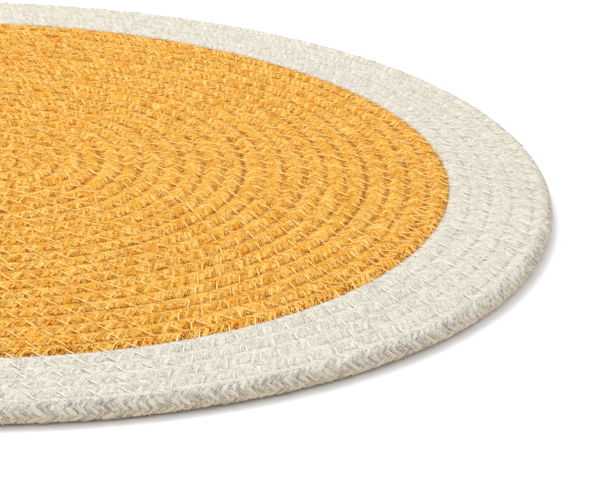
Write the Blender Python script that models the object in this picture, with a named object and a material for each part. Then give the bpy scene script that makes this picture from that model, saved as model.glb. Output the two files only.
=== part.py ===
"""A round table mat of braided cotton cord, coiled flat and sewn turn to turn.

A marigold cord makes the middle, and a natural cream cord, butted to its end, makes the border.
Each colour is one solid: its turns are sewn into one cloth, so they join along their grooves.
Metres, +Z up. The mat lies on z = 0 with the middle of its outline over the origin.
"""

import math
from collections import namedtuple

import bmesh
import bpy

# The cord as it is sewn down
CORD_PITCH = 0.00666        # width of the mat that one turn takes
THICKNESS = 0.0062
GROOVE_DEPTH = 0.0015       # how far the groove between two turns lies under their crowns
CROWN_WIDTH = 0.0031        # flat top of a turn, and the flat underside that it lies on
PIECE_GAP = 0.0003          # clear space between the two colours

# The coil, in turns of the spiral: the cord's middle lies CORD_PITCH x turn from the centre
COIL_START = 0.5
COLOUR_CHANGE = 23.5
COIL_END = 28.5
CHANGE_AZIMUTH = math.pi    # where the colour changes, and where the cord starts and ends
END_TAPER = 0.05            # part of a turn over which the outer end narrows
END_WIDTH = 0.35            # width of the outer end, as a share of CORD_PITCH

# How far a straight stretch may lie inside the round
CENTRE_SAGITTA = 0.00035
BORDER_SAGITTA = 0.00020
FEWEST_STRETCHES = 12

# The coil isn't quite round. Each row adds a wave of so many lobes to the radius: the height of
# its cosine and sine where the colour changes, then at the rim.
Wave = namedtuple("Wave", "lobes change_cos change_sin rim_cos rim_sin")
WAVES = (
    Wave(1, 0.0, -0.0009, 0.0, -0.0018),
    Wave(2, -0.0008, 0.0, 0.0, 0.0),
    Wave(4, 0.0, 0.0004, -0.0009, 0.0),
)

Finish = namedtuple("Finish", "name colour roughness")
MARIGOLD = Finish("marigold_cotton", (0.87, 0.42, 0.07), 0.92)
CREAM = Finish("cream_cotton", (0.78, 0.73, 0.63), 0.92)

# A line along the coil: its turn counts and the mesh points at them
Line = namedtuple("Line", "turns points")


def clear_scene():
    for old in list(bpy.data.objects):
        bpy.data.objects.remove(old, do_unlink=True)


def cotton(finish):
    material = bpy.data.materials.new(finish.name)
    material.use_nodes = True
    shader = material.node_tree.nodes["Principled BSDF"]
    shader.inputs["Base Color"].default_value = (*finish.colour, 1.0)
    shader.inputs["Roughness"].default_value = finish.roughness
    shader.inputs["Metallic"].default_value = 0.0
    return material


def unevenness(radius, angle):
    """How far the coil lies outside a true spiral."""
    change_radius = CORD_PITCH * COLOUR_CHANGE
    border_width = CORD_PITCH * (COIL_END - COLOUR_CHANGE)
    centre_share = min(1.0, radius / change_radius)
    rim_share = max(0.0, (radius - change_radius) / border_width)
    total = 0.0
    for wave in WAVES:
        cos_part = wave.change_cos + (wave.rim_cos - wave.change_cos) * rim_share
        sin_part = wave.change_sin + (wave.rim_sin - wave.change_sin) * rim_share
        total += cos_part * math.cos(wave.lobes * angle) + sin_part * math.sin(wave.lobes * angle)
    return total * centre_share


def coil_point(turn, offset, height):
    """A point at so many turns of the spiral, offset outwards from the cord's middle."""
    angle = CHANGE_AZIMUTH + math.tau * (turn - COLOUR_CHANGE)
    radius = CORD_PITCH * turn + offset
    radius += unevenness(radius, angle)
    return radius * math.cos(angle), radius * math.sin(angle), height


def evenly_spaced_turns():
    """Turn counts along the whole coil, evenly spaced in each turn and closer on the wide ones."""
    turns = []
    start = COIL_START
    while start < COIL_END + 1:
        sagitta = CENTRE_SAGITTA if start < COLOUR_CHANGE else BORDER_SAGITTA
        half_stretch = math.acos(1 - sagitta / (CORD_PITCH * (start + 0.5)))
        count = max(FEWEST_STRETCHES, round(math.pi / half_stretch))
        turns += [start + step / count for step in range(count)]
        start += 1
    return turns


def turns_through(stops):
    """The evenly spaced turn counts from the first stop to the last, with every stop in its place."""
    beside = 0.001
    turns = [stops[0]]
    for start, end in zip(stops, stops[1:]):
        turns += [turn for turn in evenly_spaced_turns() if start + beside < turn < end - beside]
        turns.append(end)
    return turns


def cord_width(turn):
    """The cord's width, which narrows towards the outer end of the coil."""
    full_share = min(1.0, (COIL_END - turn) / END_TAPER)
    return CORD_PITCH * (END_WIDTH + (1 - END_WIDTH) * full_share)


def edge_offset(turn, first, last, inner_gap, outer_gap):
    """Where the groove inside a turn runs. Past the last turn it is the solid's outer edge."""
    if turn < first + 1:
        return inner_gap - CORD_PITCH / 2
    if turn < last:
        return -CORD_PITCH / 2
    return cord_width(turn - 1) - 1.5 * CORD_PITCH - outer_gap


def crown_line(bm, turns, side):
    """One edge of the flat top of the turns: side is -1 for the inner edge and 1 for the outer."""
    points = []
    for turn in turns:
        width = cord_width(turn)
        middle = (width - CORD_PITCH) / 2
        half_crown = CROWN_WIDTH / 2 * width / CORD_PITCH
        points.append(bm.verts.new(coil_point(turn, middle + side * half_crown, THICKNESS)))
    return Line(turns, points)


def stitch(bm, inner, outer):
    """Fills the strip between two lines, always taking the next turn count of the two."""
    i = j = 0
    while i + 1 < len(inner.turns) or j + 1 < len(outer.turns):
        outer_is_done = j + 1 == len(outer.turns)
        inner_is_done = i + 1 == len(inner.turns)
        if outer_is_done or not inner_is_done and inner.turns[i + 1] <= outer.turns[j + 1]:
            bm.faces.new((inner.points[i], outer.points[j], inner.points[i + 1]))
            i += 1
        else:
            bm.faces.new((inner.points[i], outer.points[j], outer.points[j + 1]))
            j += 1


def coil_top(bm, first, last, inner_gap, outer_gap):
    """The upper side of the turns from first to last, ridged by its crowns and grooves.

    Returns the points round its inner edge."""
    groove_height = THICKNESS - GROOVE_DEPTH
    groove_turns = turns_through((first, first + 1, last, last + 1))
    groove = Line(groove_turns, [
        bm.verts.new(coil_point(turn, edge_offset(turn, first, last, inner_gap, outer_gap), groove_height))
        for turn in groove_turns
    ])
    crown_turns = turns_through((first, last))
    inner_crown = crown_line(bm, crown_turns, -1)
    outer_crown = crown_line(bm, crown_turns, 1)

    own = groove_turns.index(last) + 1
    stitch(bm, Line(groove_turns[:own], groove.points[:own]), inner_crown)
    stitch(bm, inner_crown, outer_crown)
    after = groove_turns.index(first + 1)
    next_turn = [turn - 1 for turn in groove_turns[after:]]
    stitch(bm, outer_crown, Line(next_turn, groove.points[after:]))
    return groove.points[:after + 1] + [outer_crown.points[0], inner_crown.points[0]]


def close_centre(bm, inner_edge):
    """The start of the cord, tucked down into the middle of its first turn."""
    face = bm.faces.new(inner_edge)
    bmesh.ops.triangulate(bm, faces=[face], quad_method="BEAUTY", ngon_method="BEAUTY")


def thicken(bm):
    """Carries the upper side down to a mirrored underside, with upright walls at its edges."""
    made = bmesh.ops.extrude_face_region(bm, geom=bm.faces[:], use_keep_orig=True)
    for point in made["geom"]:
        if isinstance(point, bmesh.types.BMVert):
            point.co.z = THICKNESS - point.co.z
    bmesh.ops.recalc_face_normals(bm, faces=bm.faces[:])


def coil_piece(name, finish, first, last, inner_gap=0.0, outer_gap=0.0, closed_centre=False):
    bm = bmesh.new()
    inner_edge = coil_top(bm, first, last, inner_gap, outer_gap)
    if closed_centre:
        close_centre(bm, inner_edge)
    thicken(bm)
    mesh = bpy.data.meshes.new(name)
    bm.to_mesh(mesh)
    bm.free()
    mesh.shade_smooth()
    mesh.set_sharp_from_angle(angle=math.radians(25))
    mesh.materials.append(cotton(finish))
    piece = bpy.data.objects.new(name, mesh)
    bpy.context.scene.collection.objects.link(piece)
    return piece


def centre_over_origin(pieces):
    """Moves the mat so that the middle of its outline lies over the origin."""
    points = [vertex.co for piece in pieces for vertex in piece.data.vertices]
    middles = [(min(p[k] for p in points) + max(p[k] for p in points)) / 2 for k in (0, 1)]
    for point in points:
        point.x -= middles[0]
        point.y -= middles[1]


def main():
    clear_scene()
    # Each cord's end stands back from the butt joint by half the gap
    end_clearance = PIECE_GAP / 2 / (math.tau * CORD_PITCH * COLOUR_CHANGE)
    centre = coil_piece(
        "centre_coil", MARIGOLD, COIL_START, COLOUR_CHANGE - end_clearance,
        outer_gap=PIECE_GAP / 2, closed_centre=True,
    )
    border = coil_piece(
        "border_coil", CREAM, COLOUR_CHANGE + end_clearance, COIL_END,
        inner_gap=PIECE_GAP / 2,
    )
    centre_over_origin((centre, border))


main()
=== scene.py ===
"""Looks of a round table mat of braided cotton cord, coiled flat and sewn turn to turn.

The cord's braid is modelled: strands lie over one another in columns that slant to and fro round the
cord. A zigzag of pale thread crosses every groove, on both faces. Metres, +Z up.
"""

import math
from collections import namedtuple

import bmesh
import bpy
import numpy as np
from mathutils import Matrix, Vector


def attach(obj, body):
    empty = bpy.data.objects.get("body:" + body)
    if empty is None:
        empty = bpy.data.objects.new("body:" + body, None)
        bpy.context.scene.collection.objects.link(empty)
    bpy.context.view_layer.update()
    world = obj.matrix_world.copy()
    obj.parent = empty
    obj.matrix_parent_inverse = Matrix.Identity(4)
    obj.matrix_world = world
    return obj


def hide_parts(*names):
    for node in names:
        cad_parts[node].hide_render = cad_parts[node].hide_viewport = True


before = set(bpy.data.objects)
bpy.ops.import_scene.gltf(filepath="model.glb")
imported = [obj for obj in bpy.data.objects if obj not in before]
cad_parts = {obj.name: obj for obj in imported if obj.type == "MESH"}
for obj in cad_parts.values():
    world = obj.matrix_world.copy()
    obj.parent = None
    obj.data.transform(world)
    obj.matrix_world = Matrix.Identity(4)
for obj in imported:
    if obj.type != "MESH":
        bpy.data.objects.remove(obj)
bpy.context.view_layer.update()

# The coil, as in the solids
CORD_PITCH = 0.00666        # width of the mat that one turn takes
THICKNESS = 0.0062
COIL_START = 0.5            # turns of the spiral
COLOUR_CHANGE = 23.5
COIL_END = 28.5
CHANGE_AZIMUTH = math.pi
END_TAPER = 0.05            # part of a turn over which the outer end narrows
END_WIDTH = 0.35
Wave = namedtuple("Wave", "lobes change_cos change_sin rim_cos rim_sin")
WAVES = (
    Wave(1, 0.0, -0.0009, 0.0, -0.0018),
    Wave(2, -0.0008, 0.0, 0.0, 0.0),
    Wave(4, 0.0, 0.0004, -0.0009, 0.0),
)

# The braid: strands lie in columns along the cord, and a pick is the step from strand to strand
COLUMNS = 8                 # columns round the cord
PICK = 0.00265
STRAND_SLANT = 0.87         # picks that a strand moves on while it crosses a column
PLIES = 3                   # yarns side by side in a strand
ROWS_PER_PICK = 4
GAP_DEPTH = 0.00050         # between two strands of a column
RIM_GAP_DEPTH = 0.00080     # the same on the free side of the last turn
TUCK_DEPTH = 0.00030        # where strands tuck under the next column
STRAND_REACH = 0.24         # columns by which a strand reaches into the next one
UNEVEN_STRANDS = 0.00024    # how much lower some strands lie than others
YARN_LUMPS = 0.00014        # lumps in the yarns of a strand
SWAY = 0.00010              # slow rise and fall of the cord's crown
GAP_PROFILE = [1.0, 0.25, 0.0]  # depth of a gap, as a share, in its middle row and the rows beside it
RIM_TWIST = 0.05            # columns by which the braid is rolled down on the free side of the last turn
SQUARE_END_PICKS = 4.0      # picks over which the slant fades out, so that a cord end is cut square
RIM_START = 0.01            # part of a turn over which the last turn takes on the shape of the rim

# Lines along the cord, in columns from its outer side up over the crown, between its two grooves
UPPER_LINES = [column + part / 3 for column in (1, 2) for part in range(3)] + [3.0]
UNDER_LINES = [-1.0, -1.5, -2.0, -2.5, -3.0]
RIM_FOOT = -1.4             # where the rim meets the underside on the last turn
RIM_LINES = [0.6, 0.3, 0.0, -0.33, -0.66, -1.0]

# A cord is wider than its pitch, so its turns press together and meet at grooves. A crown_power below 1
# makes it flatter than an ellipse.
Cord = namedtuple("Cord", "half_width crown_power groove")


def pressed_cord(half_width, crown_power):
    return Cord(half_width, crown_power, math.acos(CORD_PITCH / 2 / half_width) * COLUMNS / math.tau)


MARIGOLD_CORD = pressed_cord(0.00410, 0.80)
CREAM_CORD = pressed_cord(0.00440, 0.72)

# The zigzag seam
STITCH = 0.00824            # length of a whole zigzag along the groove
OUTWARD_RUN = 0.0022        # how far a leg moves on along the groove on its way outwards
INWARD_RUNS = ((14, 0.0036), (24, 0.0022))      # and on its way back, at two turns
INNER_REACH = 0.0021        # how far it reaches onto the turn inside the groove
OUTER_REACH = 0.0021        # and onto the turn outside it
START_SPREAD = 0.06         # unevenness of the stitches' starts, in stitches
REACH_SPREAD = 0.12         # and of their reach, as a share of it
RUN_SWING = 0.35            # slow change of the legs' run along the seam, as a share of it
THREAD_RADIUS = 0.00018
LEG_RISE = 0.00012          # how far the thread's middle lies over the cotton at the ends of a leg
LEG_DIP = 0.0016            # how far the thread dips into the cotton between two legs
# Inside these distances the thread's warm tint over the marigold turns is painted light bounced from the
# cotton
THREAD_CHANGE = (0.154, 0.159)      # distances from the middle between which the thread gets paler

# Half of the legs are pulled down out of sight: in front those that come back, elsewhere those that go
# outwards, except at the colour change. A stitch is in front where the sine of its angle round the coil
# is below FRONT_SINE and its X below FRONT_END, and at the back where the sine is above BACK_SINE.
LEG_SINK = 0.0016           # how far the hidden legs are pulled down into the cotton
BACK_SINK = 0.0009          # how far the other legs are pulled down at the back
FRONT_SINE = -0.5
BACK_SINE = 0.4
FRONT_END = 0.070


def unevenness(radius, angle):
    """How far the coil lies outside a true spiral."""
    change_radius = CORD_PITCH * COLOUR_CHANGE
    border_width = CORD_PITCH * (COIL_END - COLOUR_CHANGE)
    centre_share = np.minimum(1.0, radius / change_radius)
    rim_share = np.maximum(0.0, (radius - change_radius) / border_width)
    total = 0.0
    for wave in WAVES:
        cos_part = wave.change_cos + (wave.rim_cos - wave.change_cos) * rim_share
        sin_part = wave.change_sin + (wave.rim_sin - wave.change_sin) * rim_share
        total = total + cos_part * np.cos(wave.lobes * angle) + sin_part * np.sin(wave.lobes * angle)
    return total * centre_share


def coil_points(turn, offset, height):
    """Points at so many turns of the spiral, offset outwards from the cord's middle."""
    angle = CHANGE_AZIMUTH + math.tau * (turn - COLOUR_CHANGE)
    radius = CORD_PITCH * turn + offset
    radius = radius + unevenness(radius, angle)
    return np.stack([radius * np.cos(angle), radius * np.sin(angle), height], axis=-1)


def cord_width(turn):
    """The cord's width, which narrows towards the outer end of the coil."""
    full_share = np.minimum(1.0, (COIL_END - turn) / END_TAPER)
    return CORD_PITCH * (END_WIDTH + (1 - END_WIDTH) * full_share)


def outline_middle():
    """The middle of the mat's outline, which lies over the origin."""
    turn = np.linspace(COIL_END - 1, COIL_END, 20000)
    rim = coil_points(turn, cord_width(turn) - CORD_PITCH / 2, np.zeros_like(turn))
    middle = (rim.min(axis=0) + rim.max(axis=0)) / 2
    return Vector((middle[0], middle[1], 0.0))


MIDDLE = outline_middle()


def picks_to(turn):
    """Picks of the braid from the centre to that turn, as the length of the spiral grows."""
    return math.pi * CORD_PITCH * turn ** 2 / PICK


def turn_at(picks):
    return np.sqrt(np.maximum(picks, 0.0) * PICK / (math.pi * CORD_PITCH))


def square_share(picks):
    """0 at the cord's real ends, and 1 away from them."""
    ends = [picks_to(turn) for turn in (COIL_START, COLOUR_CHANGE, COIL_END)]
    distance = np.min([np.abs(picks - end) for end in ends], axis=0)
    return np.clip(distance / SQUARE_END_PICKS, 0.0, 1.0)


def braid_rows(first, last):
    """Rows of a stretch of cord in picks. Every second one from the first is a row of the underside."""
    start, end = picks_to(first), picks_to(last)
    low = math.floor(ROWS_PER_PICK * start) + 1
    low += (low + 1) % 2
    high = math.ceil(ROWS_PER_PICK * end) - 1
    high -= (high + 1) % 2
    inner_rows = np.arange(low, high + 1) / ROWS_PER_PICK
    return np.concatenate([[start], inner_rows, [end]])


def random_table(seed, steps, columns):
    """Gives a random number from 0 to 1 for each step along the cord in each column round it."""
    table = np.random.default_rng(seed).random((int(steps) + 8, columns))

    def lookup(step, column):
        return table[np.clip(step, 0, len(table) - 1).astype(int), column.astype(int) % columns]
    return lookup


STRAND_HEIGHT = random_table(11, picks_to(COIL_END), COLUMNS)
STRAND_LOOSENESS = random_table(12, picks_to(COIL_END), COLUMNS)
LUMP_HEIGHT = random_table(13, ROWS_PER_PICK * picks_to(COIL_END), 3 * COLUMNS)


def slow_wave(along, seed, shortest, longest):
    """A smooth random wave along the cord, from -1 to 1."""
    generator = np.random.default_rng(seed)
    total = np.zeros_like(along)
    for length in np.geomspace(shortest, longest, 6):
        wavelength = length * generator.uniform(0.9, 1.1)
        total += np.sin(math.tau * along / wavelength + generator.uniform(0, math.tau))
    return total / 6


def strand_depth(row, line, gap_depth):
    """How deep the braid dips under its highest points, for rows in picks and lines in columns."""
    column = np.floor(line - 1e-6)
    between_columns = np.abs(line - np.round(line)) < 1e-6
    phase = row + 0.5 * (column + 1)
    strand = np.floor(phase)
    across = np.abs(phase - np.round(phase)) * ROWS_PER_PICK    # rows from the nearest gap
    gap = gap_depth * (0.3 + 1.1 * STRAND_LOOSENESS(np.round(phase), column))
    depth = np.interp(across, range(len(GAP_PROFILE)), GAP_PROFILE) * gap
    depth = depth + UNEVEN_STRANDS * STRAND_HEIGHT(strand, column)
    depth = depth + YARN_LUMPS * LUMP_HEIGHT(np.round(row * ROWS_PER_PICK), np.round(3 * line))
    # Each strand reaches a little past its column, over the gap between two strands of the next one
    under_edge = np.abs(np.mod(2 * row, 1) - 0.5) < 0.1
    tuck = TUCK_DEPTH * (0.4 + 1.2 * STRAND_LOOSENESS(strand, column)) * np.where(under_edge, 1.0, 0.2)
    return np.where(between_columns, tuck + UNEVEN_STRANDS * STRAND_HEIGHT(strand, column), depth)


def slant_of(row, line):
    """Picks that the strands have moved on at a line, as they slant to and fro."""
    return STRAND_SLANT * (np.abs(np.mod(line, 2) - 1) - 0.5) * square_share(row)


def cord_section(cord, row, line, rim_line=None):
    """Points of the braided cord and their place on it, for rows in picks and lines in columns.

    On the last turn a line takes its place from rim_line."""
    row, line = np.broadcast_arrays(row, line)
    turn = turn_at(np.clip(row + slant_of(row, line), picks_to(COIL_START), picks_to(COIL_END)))
    rim_share = np.clip((turn - (COIL_END - 1)) / RIM_START, 0.0, 1.0)
    if rim_line is not None:
        line = line + (rim_line - line) * rim_share
    free_share = rim_share * (np.abs(line) < 2)     # 1 on the free side of the last turn
    roll = RIM_TWIST * free_share * (1 - np.abs(line) / 2)
    lean = (line - roll) * math.tau / COLUMNS
    at_groove = np.abs(np.abs(np.cos(lean)) * cord.half_width - CORD_PITCH / 2) < 1e-7
    gap_depth = GAP_DEPTH + (RIM_GAP_DEPTH - GAP_DEPTH) * free_share
    depth = np.where(at_groove, 0.0, strand_depth(row, line, gap_depth))
    half_width = cord.half_width + (CORD_PITCH / 2 - cord.half_width) * free_share
    offset = (half_width - depth) * np.cos(lean)
    power = cord.crown_power + (1 - cord.crown_power) * free_share
    rise = np.sign(np.sin(lean)) * np.abs(np.sin(lean)) ** power
    sway = SWAY * slow_wave(row, seed=5, shortest=6.0, longest=60.0) * np.sin(lean) ** 3
    height = THICKNESS / 2 + (THICKNESS / 2 - depth) * rise + sway
    narrowing = cord_width(turn) / CORD_PITCH
    offset = (offset + CORD_PITCH / 2) * narrowing - CORD_PITCH / 2
    height = np.clip(height, 0.0, THICKNESS) * np.sqrt(narrowing)
    return coil_points(turn, offset, height), np.stack([row, line], axis=-1)


def crown_height(cord, offset):
    """Height of the upper side at an offset from the cord's middle."""
    rise = np.sqrt(1 - (offset / cord.half_width) ** 2) ** cord.crown_power
    return THICKNESS / 2 * (1 + rise)


def tuck_to_inner_turn(points, row, line, edge_points):
    """Moves the inner edge of each turn onto the nearest points of the outer edge of the turn inside it.

    Returns how many rows at the start have no turn inside them."""
    slant = slant_of(row, line)
    inside = picks_to(np.maximum(turn_at(row + slant) - 1, 0.0)) - slant
    free = int(np.searchsorted(inside, row[0]))
    nearest = np.searchsorted((row[1:] + row[:-1]) / 2, inside[free:])
    points[free:] = edge_points[nearest]
    return free


def lay_grid(bm, points, places):
    """Adds a grid of faces through rows of points. places says where on the braid each point is."""
    rows, lines = points.shape[:2]
    sheet = bmesh.new()
    bmesh.ops.create_grid(sheet, x_segments=lines - 1, y_segments=rows - 1, size=1.0)
    mesh = bpy.data.meshes.new("sheet")
    sheet.to_mesh(mesh)
    sheet.free()
    mesh.vertices.foreach_set("co", points.reshape(-1).astype(np.float32))
    corners = np.empty(len(mesh.loops), np.int32)
    mesh.loops.foreach_get("vertex_index", corners)
    uv = mesh.uv_layers.new(name="braid")
    uv.data.foreach_set("uv", places.reshape(-1, 2)[corners].reshape(-1).astype(np.float32))
    bm.from_mesh(mesh)
    bpy.data.meshes.remove(mesh)


def lines_between(first, lines, last):
    """The lines from first to last, without those that nearly meet an end."""
    inside = [line for line in lines if min(abs(line - first), abs(line - last)) > 0.1]
    return np.array([first] + inside + [last])


def braided_coil(name, cord, material, first, last, has_rim=False):
    """The turns of cord from first to last, sewn into one cloth: upper side, underside and walls."""
    row = braid_rows(first, last)
    under_row = row[::2]
    upper_lines = lines_between(cord.groove, UPPER_LINES, 4 - cord.groove)
    under_lines = lines_between(-cord.groove, UNDER_LINES, cord.groove - 4)
    upper, upper_place = cord_section(cord, row[:, None], upper_lines[None, ::-1])
    to_foot = (under_lines + 2) * (RIM_FOOT + 2) / (2 - cord.groove) - 2
    on_last_turn = np.where(under_lines > -2, to_foot, under_lines)
    under, under_place = cord_section(cord, under_row[:, None], under_lines[None, :], on_last_turn[None, :])
    free = tuck_to_inner_turn(upper[:, 0], row, upper_lines[-1], upper[:, -1])
    tuck_to_inner_turn(under[:, -1], under_row, under_lines[-1], under[:, 0])

    bm = bmesh.new()
    lay_grid(bm, upper, upper_place)
    lay_grid(bm, under, under_place)

    # The rim, or the plain outer wall, runs along the last turn
    start = int(np.searchsorted(row, picks_to(last - 1)))
    rim_lines = [cord.groove] + RIM_LINES + [RIM_FOOT] if has_rim else [cord.groove, -cord.groove]
    rim, rim_place = cord_section(cord, row[start:, None], np.array(rim_lines)[None, :])
    rim[:, 0] = upper[start:, -1]
    rim[:, -1] = under[(np.arange(start, len(row)) + 1) // 2, 0]
    lay_grid(bm, rim, rim_place)

    if first > COIL_START:
        wall_lines = np.array([cord.groove - 4, -cord.groove - 4])
        wall, wall_place = cord_section(cord, row[:free + 1, None], wall_lines[None, :])
        wall[:, 0] = under[(np.arange(free + 1) + 1) // 2, -1]
        wall[:, -1] = upper[:free + 1, 0]
        lay_grid(bm, wall, wall_place)

    bmesh.ops.remove_doubles(bm, verts=bm.verts, dist=1e-6)
    cut_ends = [edge for edge in bm.edges if edge.is_boundary]
    filled = bmesh.ops.holes_fill(bm, edges=cut_ends, sides=0)
    bmesh.ops.triangulate(bm, faces=filled["faces"])
    return finished_piece(name, bm, material)


def finished_piece(name, bm, material):
    bmesh.ops.translate(bm, verts=bm.verts, vec=-MIDDLE)
    mesh = bpy.data.meshes.new(name)
    bm.to_mesh(mesh)
    bm.free()
    mesh.shade_smooth()
    mesh.set_sharp_from_angle(angle=math.radians(85))
    mesh.materials.append(material)
    piece = bpy.data.objects.new(name, mesh)
    bpy.context.scene.collection.objects.link(piece)
    return piece


def zigzag_seam(name, material, is_upper):
    """One thread, from the centre out: legs across the groove, joined by stretches sunk in the cotton."""
    def length_at(turn):
        return math.pi * CORD_PITCH * (turn + 0.5) ** 2

    def turn_of(length):
        return np.sqrt(length / (math.pi * CORD_PITCH)) - 0.5

    stitches = int((length_at(COIL_END - 1) - length_at(COIL_START)) / STITCH)
    index = np.arange(stitches)
    generator = np.random.default_rng(21 if is_upper else 22)
    start_index = index + START_SPREAD * generator.standard_normal(stitches)
    start = length_at(COIL_START) + start_index * STITCH
    unsteady = 1 + RUN_SWING * slow_wave(index.astype(float), seed=31, shortest=20, longest=300)
    inner = INNER_REACH * (1 + REACH_SPREAD * generator.standard_normal(stitches))
    outer = OUTER_REACH * (1 + REACH_SPREAD * generator.standard_normal(stitches))
    start_turn = turn_of(start)
    angle = CHANGE_AZIMUTH + math.tau * (start_turn - COLOUR_CHANGE)
    groove_x = CORD_PITCH * (start_turn + 0.5) * np.cos(angle)
    in_front = (np.sin(angle) < FRONT_SINE) & (groove_x < FRONT_END)
    at_back = np.sin(angle) > BACK_SINE
    in_cream = start > length_at(COLOUR_CHANGE - 1)
    at_change = (start > length_at(COLOUR_CHANGE - 2)) & ~in_cream
    inward_sink = LEG_SINK * in_front + BACK_SINK * at_back
    outward_sink = LEG_SINK * ~(in_front | at_change)
    inner_level, outer_level = (
        np.where(in_cream, crown_height(CREAM_CORD, offset), crown_height(MARIGOLD_CORD, offset)) + LEG_RISE
        for offset in (CORD_PITCH / 2 - inner, CORD_PITCH / 2 - outer)
    )
    # The dip, the inner end, the outer end and the dip of a leg, then of the leg that comes back
    out_run = OUTWARD_RUN * unsteady
    back = STITCH / 2 + np.interp(start_turn, *zip(*INWARD_RUNS)) * unsteady
    along, across, height = [], [], []
    for step, reach, level in (
        (0.0, -inner, inner_level - LEG_DIP), (0.0, -inner, inner_level - outward_sink),
        (out_run, outer, outer_level - outward_sink), (out_run, outer, outer_level - LEG_DIP),
        (STITCH / 2, outer, outer_level - LEG_DIP), (STITCH / 2, outer, outer_level - inward_sink),
        (back, -inner, inner_level - inward_sink), (back, -inner, inner_level - LEG_DIP),
    ):
        along.append(start + step)
        across.append(reach)
        height.append(level)
    along, across, height = (np.stack(part, axis=1).reshape(-1) for part in (along, across, height))
    height = np.minimum(height, THICKNESS - THREAD_RADIUS)
    if not is_upper:
        height = THICKNESS - height
    points = coil_points(turn_of(along), CORD_PITCH / 2 + across, height)

    curve = bpy.data.curves.new(name, "CURVE")
    curve.dimensions = "3D"
    curve.bevel_depth = THREAD_RADIUS
    curve.bevel_resolution = 0
    curve.use_fill_caps = True
    spline = curve.splines.new("POLY")
    spline.points.add(len(points) - 1)
    spline.points.foreach_set("co", np.column_stack([points, np.ones(len(points))]).reshape(-1))
    guide = bpy.data.objects.new(name + "_guide", curve)
    mesh = bpy.data.meshes.new_from_object(guide)
    bpy.data.objects.remove(guide)
    bpy.data.curves.remove(curve)
    bm = bmesh.new()
    bm.from_mesh(mesh)
    bpy.data.meshes.remove(mesh)
    bmesh.ops.remove_doubles(bm, verts=bm.verts, dist=1e-6)
    return finished_piece(name, bm, material)


# Finishes

def new_material(name):
    material = bpy.data.materials.new(name)
    material.use_nodes = True
    return material, material.node_tree, material.node_tree.nodes["Principled BSDF"]


def put(tree, socket, value):
    if isinstance(value, bpy.types.NodeSocket):
        tree.links.new(value, socket)
    else:
        socket.default_value = value


def maths(tree, operation, *values):
    node = tree.nodes.new("ShaderNodeMath")
    node.operation = operation
    for socket, value in zip(node.inputs, values):
        put(tree, socket, value)
    return node.outputs[0]


def fade(tree, value, start, end, low=0.0, high=1.0):
    """Goes smoothly from low to high as the value goes from start to end."""
    node = tree.nodes.new("ShaderNodeMapRange")
    node.interpolation_type = "SMOOTHSTEP"
    for socket, number in zip(node.inputs, (value, start, end, low, high)):
        put(tree, socket, number)
    return node.outputs["Result"]


def vector(tree, x, y, z):
    node = tree.nodes.new("ShaderNodeCombineXYZ")
    for socket, value in zip(node.inputs, (x, y, z)):
        put(tree, socket, value)
    return node.outputs[0]


def noise(tree, place, scale, detail=2.0, roughness=0.5):
    node = tree.nodes.new("ShaderNodeTexNoise")
    put(tree, node.inputs["Vector"], place)
    node.inputs["Scale"].default_value = scale
    node.inputs["Detail"].default_value = detail
    node.inputs["Roughness"].default_value = roughness
    return node.outputs["Fac"]


def mixed(tree, share, first, second, blend="MIX"):
    node = tree.nodes.new("ShaderNodeMix")
    node.data_type = "RGBA"
    node.blend_type = blend
    put(tree, node.inputs["Factor"], share)
    for socket, colour in ((node.inputs["A"], first), (node.inputs["B"], second)):
        put(tree, socket, colour if isinstance(colour, bpy.types.NodeSocket) else (*colour, 1.0))
    return node.outputs["Result"]


# Sizes of the cotton's finish
FUZZ_SCALE = 2400.0
GRAIN_SCALE = 700.0
CLOUD_SCALE = 170.0
YARN_BEND = 0.70            # picks by which the grain bends the yarns to and fro
YARN_BUMP = 0.16            # mm, as the next two
FUZZ_BUMP = 0.30
HOLLOW_BUMP = 0.20

# Each cotton's colours: body, pale and patch mix on the yarns. gap is painted shade, laid in the hollows by
# the gap share and in the grooves by the groove share, and side is painted shade that darkens and warms the
# low parts. Its coil ends at the turn last.
Cotton = namedtuple("Cotton", "name body pale patch gap gap_share groove_share side last")
MARIGOLD = Cotton(
    "marigold_cotton", body=(0.89, 0.415, 0.038), pale=(1.0, 0.615, 0.16), patch=(0.80, 0.30, 0.017),
    gap=(0.30, 0.048, 0.0), gap_share=1.0, groove_share=0.36, side=(0.90, 0.80, 0.70),
    last=COLOUR_CHANGE,
)
CREAM = Cotton(
    "cream_cotton", body=(0.74, 0.69, 0.585), pale=(0.82, 0.775, 0.675), patch=(0.68, 0.63, 0.52),
    gap=(0.36, 0.31, 0.24), gap_share=0.42, groove_share=0.32, side=(1.0, 0.90, 0.80),
    last=COIL_END,
)


def by_chance(tree, first, second):
    """A random number for each pair of whole numbers."""
    node = tree.nodes.new("ShaderNodeTexWhiteNoise")
    node.noise_dimensions = "2D"
    tree.links.new(vector(tree, first, second, 0.0), node.inputs["Vector"])
    return node.outputs["Value"]


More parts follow.
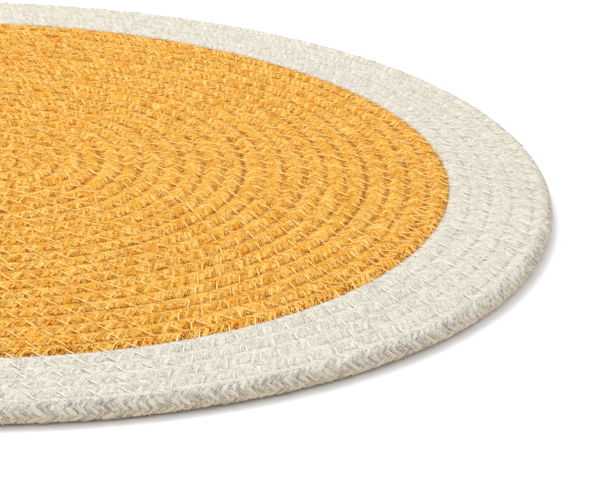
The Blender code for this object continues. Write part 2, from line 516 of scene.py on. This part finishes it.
def braided_cotton(cotton):
    """Cotton strands of plied yarn that follow the braid, which the UV map counts in picks and columns."""
    material, tree, shader = new_material(cotton.name)
    uv = tree.nodes.new("ShaderNodeUVMap")
    uv.uv_map = "braid"
    split = tree.nodes.new("ShaderNodeSeparateXYZ")
    tree.links.new(uv.outputs["UV"], split.inputs[0])
    row, line = split.outputs["X"], split.outputs["Y"]
    position = tree.nodes.new("ShaderNodeTexCoord").outputs["Object"]
    fuzz = noise(tree, position, FUZZ_SCALE, detail=3.0, roughness=0.7)
    grain = noise(tree, position, GRAIN_SCALE, detail=2.0, roughness=0.6)
    clouds = noise(tree, position, CLOUD_SCALE, detail=3.0, roughness=0.6)

    # Each strand reaches a little past its column, so the columns' edges run to and fro
    flip = maths(tree, "COSINE", maths(tree, "MULTIPLY", maths(tree, "ROUND", line), math.pi))
    wave = maths(tree, "COSINE", maths(tree, "MULTIPLY", row, math.tau))
    reach = maths(tree, "MULTIPLY", maths(tree, "MULTIPLY", flip, wave), STRAND_REACH)
    inside_line = maths(tree, "ADD", line, reach)
    column = maths(tree, "FLOOR", inside_line)
    bend = maths(tree, "MULTIPLY_ADD", grain, YARN_BEND, -YARN_BEND / 2)
    phase = maths(tree, "ADD", row, maths(tree, "MULTIPLY_ADD", column, 0.5, 0.5))
    bent = maths(tree, "ADD", phase, bend)
    yarn = maths(tree, "MULTIPLY", bent, PLIES)
    from_gap = maths(tree, "PINGPONG", bent, 0.5)
    from_yarn_edge = maths(tree, "PINGPONG", yarn, 0.5)
    gap_chance = by_chance(tree, maths(tree, "ROUND", bent), column)
    edge_chance = by_chance(tree, maths(tree, "ROUND", yarn), column)
    yarn_chance = by_chance(tree, maths(tree, "FLOOR", yarn), maths(tree, "ADD", column, 40.0))
    from_tuck = maths(tree, "PINGPONG", maths(tree, "MULTIPLY_ADD", grain, 0.2, inside_line), 0.5)

    # Near the grooves, in columns from the crown, but not on the free side of the last turn, where shade is
    # painted
    from_crown = maths(tree, "ABSOLUTE", maths(tree, "SUBTRACT", maths(tree, "ABSOLUTE", line), 2.0))
    near_groove = fade(tree, from_crown, 0.75, 1.08)
    near_groove = maths(tree, "MULTIPLY", near_groove, fade(tree, from_crown, 1.3, 1.5, 1.0, 0.0))
    on_last_turn = maths(tree, "GREATER_THAN", row, picks_to(cotton.last - 1))
    on_edge = maths(tree, "MULTIPLY", on_last_turn, maths(tree, "LESS_THAN", line, 2.0))
    near_groove = maths(tree, "MULTIPLY", near_groove, maths(tree, "SUBTRACT", 1.0, on_edge))

    # Painted shade in the hollows: between strands, between some yarns, where strands tuck under, and a few
    # holes
    gap = fade(tree, from_gap, 0.03, 0.22, 1.0, 0.0)
    gap = maths(tree, "MULTIPLY", gap, fade(tree, gap_chance, 0.0, 0.6, 0.4, 1.0))
    edge = fade(tree, from_yarn_edge, 0.05, 0.40, 1.0, 0.0)
    edge = maths(tree, "MULTIPLY", edge, fade(tree, edge_chance, 0.15, 0.65))
    tuck = fade(tree, from_tuck, 0.0, 0.12, 0.45, 0.0)
    shaded_hollow = maths(tree, "MAXIMUM", maths(tree, "MAXIMUM", gap, edge), tuck)
    shaded_hollow = maths(tree, "MULTIPLY", shaded_hollow, fade(tree, grain, 0.40, 0.56, 0.1, 1.0))
    # The painted shade in the hollows is stronger near the grooves and on the free side of the last turn
    low_part = maths(tree, "MAXIMUM", near_groove, on_edge)
    shaded_hollow = maths(tree, "MULTIPLY", shaded_hollow, maths(tree, "MULTIPLY_ADD", low_part, 0.6, 0.7))
    shaded_hollow = maths(tree, "MAXIMUM", shaded_hollow, fade(tree, clouds, 0.70, 0.76))

    colour = mixed(tree, fade(tree, clouds, 0.4, 0.65), cotton.body, cotton.patch)
    tint = maths(tree, "MULTIPLY_ADD", yarn_chance, 0.40, maths(tree, "MULTIPLY", fuzz, 1.2))
    colour = mixed(tree, fade(tree, tint, 0.6, 1.0), colour, cotton.pale)
    # Ragged painted shade along the grooves
    groove_shade = maths(tree, "MULTIPLY", near_groove, fade(tree, grain, 0.34, 0.58, 0.0, cotton.groove_share))
    # Painted shade: the gap colour laid over the hollows and along the grooves
    painted_shade = maths(tree, "MAXIMUM", maths(tree, "MULTIPLY", shaded_hollow, cotton.gap_share), groove_shade)
    colour = mixed(tree, painted_shade, colour, cotton.gap)
    # Painted shade: the colour gets darker and warmer towards the bottom of the mat
    across = tree.nodes.new("ShaderNodeSeparateXYZ")
    tree.links.new(position, across.inputs[0])
    side = fade(tree, across.outputs["Z"], 0.0015, 0.0060, 1.0, 0.0)
    colour = mixed(tree, side, colour, cotton.side, "MULTIPLY")
    tree.links.new(colour, shader.inputs["Base Color"])

    height = maths(tree, "MULTIPLY", fade(tree, from_yarn_edge, 0.0, 0.5), YARN_BUMP)
    height = maths(tree, "MULTIPLY_ADD", fuzz, FUZZ_BUMP, height)
    height = maths(tree, "MULTIPLY_ADD", shaded_hollow, -HOLLOW_BUMP, height)
    bump = tree.nodes.new("ShaderNodeBump")
    bump.inputs["Distance"].default_value = 0.001
    bump.inputs["Strength"].default_value = 0.9
    tree.links.new(height, bump.inputs["Height"])
    tree.links.new(bump.outputs["Normal"], shader.inputs["Normal"])
    shader.inputs["Roughness"].default_value = 0.95
    shader.inputs["Specular IOR Level"].default_value = 0.05
    return material


def sewing_thread():
    """Pale thread, tinted with painted light bounced from the cotton round it: warm over the marigold
    turns.
    """
    material, tree, shader = new_material("pale_thread")
    position = tree.nodes.new("ShaderNodeTexCoord").outputs["Object"]
    twist = noise(tree, position, 1800.0, detail=2.0)
    split = tree.nodes.new("ShaderNodeSeparateXYZ")
    tree.links.new(position, split.inputs[0])
    from_middle = tree.nodes.new("ShaderNodeVectorMath")
    from_middle.operation = "LENGTH"
    tree.links.new(vector(tree, split.outputs["X"], split.outputs["Y"], 0.0), from_middle.inputs[0])
    border = fade(tree, from_middle.outputs["Value"], *THREAD_CHANGE)
    # Painted bounce light: the thread's warm tint over the marigold turns
    marigold_bounce = mixed(tree, fade(tree, twist, 0.3, 0.7), (1.0, 0.64, 0.17), (1.0, 0.78, 0.30))
    on_cream = mixed(tree, fade(tree, twist, 0.3, 0.7), (0.84, 0.80, 0.71), (0.92, 0.88, 0.79))
    tree.links.new(mixed(tree, border, marigold_bounce, on_cream), shader.inputs["Base Color"])
    shader.inputs["Roughness"].default_value = 0.6
    shader.inputs["Specular IOR Level"].default_value = 0.2
    return material


# Camera, from the fit of the outline, the colour change and the grooves to the photograph
LENS = 144.0                # mm, on a 36 mm sensor
ELEVATION = math.radians(21.2009)
ROLL = math.radians(3.0654)
DISTANCE = 0.7764
ASIDE = 0.107711
ABOVE = -0.0228414


def set_camera():
    forward = Vector((0.0, math.cos(ELEVATION), -math.sin(ELEVATION)))
    level_up = Vector((0.0, math.sin(ELEVATION), math.cos(ELEVATION)))
    level_right = Vector((1.0, 0.0, 0.0))
    right = math.cos(ROLL) * level_right + math.sin(ROLL) * level_up
    up = -math.sin(ROLL) * level_right + math.cos(ROLL) * level_up
    place = -DISTANCE * forward + ASIDE * right + ABOVE * up - MIDDLE
    camera = bpy.data.objects.new("camera", bpy.data.cameras.new("camera"))
    camera.matrix_world = Matrix((
        (right.x, up.x, -forward.x, place.x),
        (right.y, up.y, -forward.y, place.y),
        (right.z, up.z, -forward.z, place.z),
        (0.0, 0.0, 0.0, 1.0),
    ))
    camera.data.lens = LENS
    camera.data.sensor_width = 36.0
    camera.data.clip_start = 0.01
    camera.data.clip_end = 20.0
    bpy.context.scene.collection.objects.link(camera)
    bpy.context.scene.camera = camera


def set_light():
    world = bpy.data.worlds.new("studio")
    world.use_nodes = True
    background = world.node_tree.nodes["Background"]
    background.inputs["Color"].default_value = (0.98, 0.985, 1.0, 1.0)
    background.inputs["Strength"].default_value = 0.93
    bpy.context.scene.world = world
    lamp = bpy.data.lights.new("softbox", "AREA")
    lamp.shape = "DISK"
    lamp.size = 1.0
    lamp.energy = 11.5
    softbox = bpy.data.objects.new("softbox", lamp)
    softbox.location = (-0.50, 0.36, 1.18)
    softbox.rotation_euler = softbox.location.to_track_quat("Z", "Y").to_euler()
    bpy.context.scene.collection.objects.link(softbox)
    bpy.context.scene.view_settings.view_transform = "Standard"


def add_floor():
    bm = bmesh.new()
    bmesh.ops.create_grid(bm, x_segments=1, y_segments=1, size=6.0)
    mesh = bpy.data.meshes.new("floor")
    bm.to_mesh(mesh)
    bm.free()
    material, tree, shader = new_material("floor_white")
    shader.inputs["Base Color"].default_value = (0.93, 0.93, 0.93, 1.0)
    shader.inputs["Roughness"].default_value = 0.9
    mesh.materials.append(material)
    floor = bpy.data.objects.new("floor", mesh)
    bpy.context.scene.collection.objects.link(floor)


Coil = namedtuple("Coil", "piece first last place")


def main():
    set_camera()
    marigold = braided_cotton(MARIGOLD)
    cream = braided_cotton(CREAM)
    thread = sewing_thread()
    coils = []
    for name, cord, material, first, last, place in (
        ("marigold_inner_turns", MARIGOLD_CORD, marigold, COIL_START, 13.5, "centre"),
        ("marigold_middle_turns", MARIGOLD_CORD, marigold, 13.5, 19.5, "centre"),
        ("marigold_outer_turns", MARIGOLD_CORD, marigold, 19.5, COLOUR_CHANGE, "centre"),
        ("cream_turns", CREAM_CORD, cream, COLOUR_CHANGE, COIL_END, "border"),
    ):
        piece = braided_coil(name, cord, material, first, last, has_rim=last == COIL_END)
        coils.append(Coil(piece, first, last, place))
    seams = [zigzag_seam("upper_seam", thread, True), zigzag_seam("under_seam", thread, False)]
    for coil in coils:
        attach(coil.piece, "root")
        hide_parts(coil.place + "_coil")
    for seam in seams:
        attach(seam, "root")
    set_light()
    add_floor()


main()
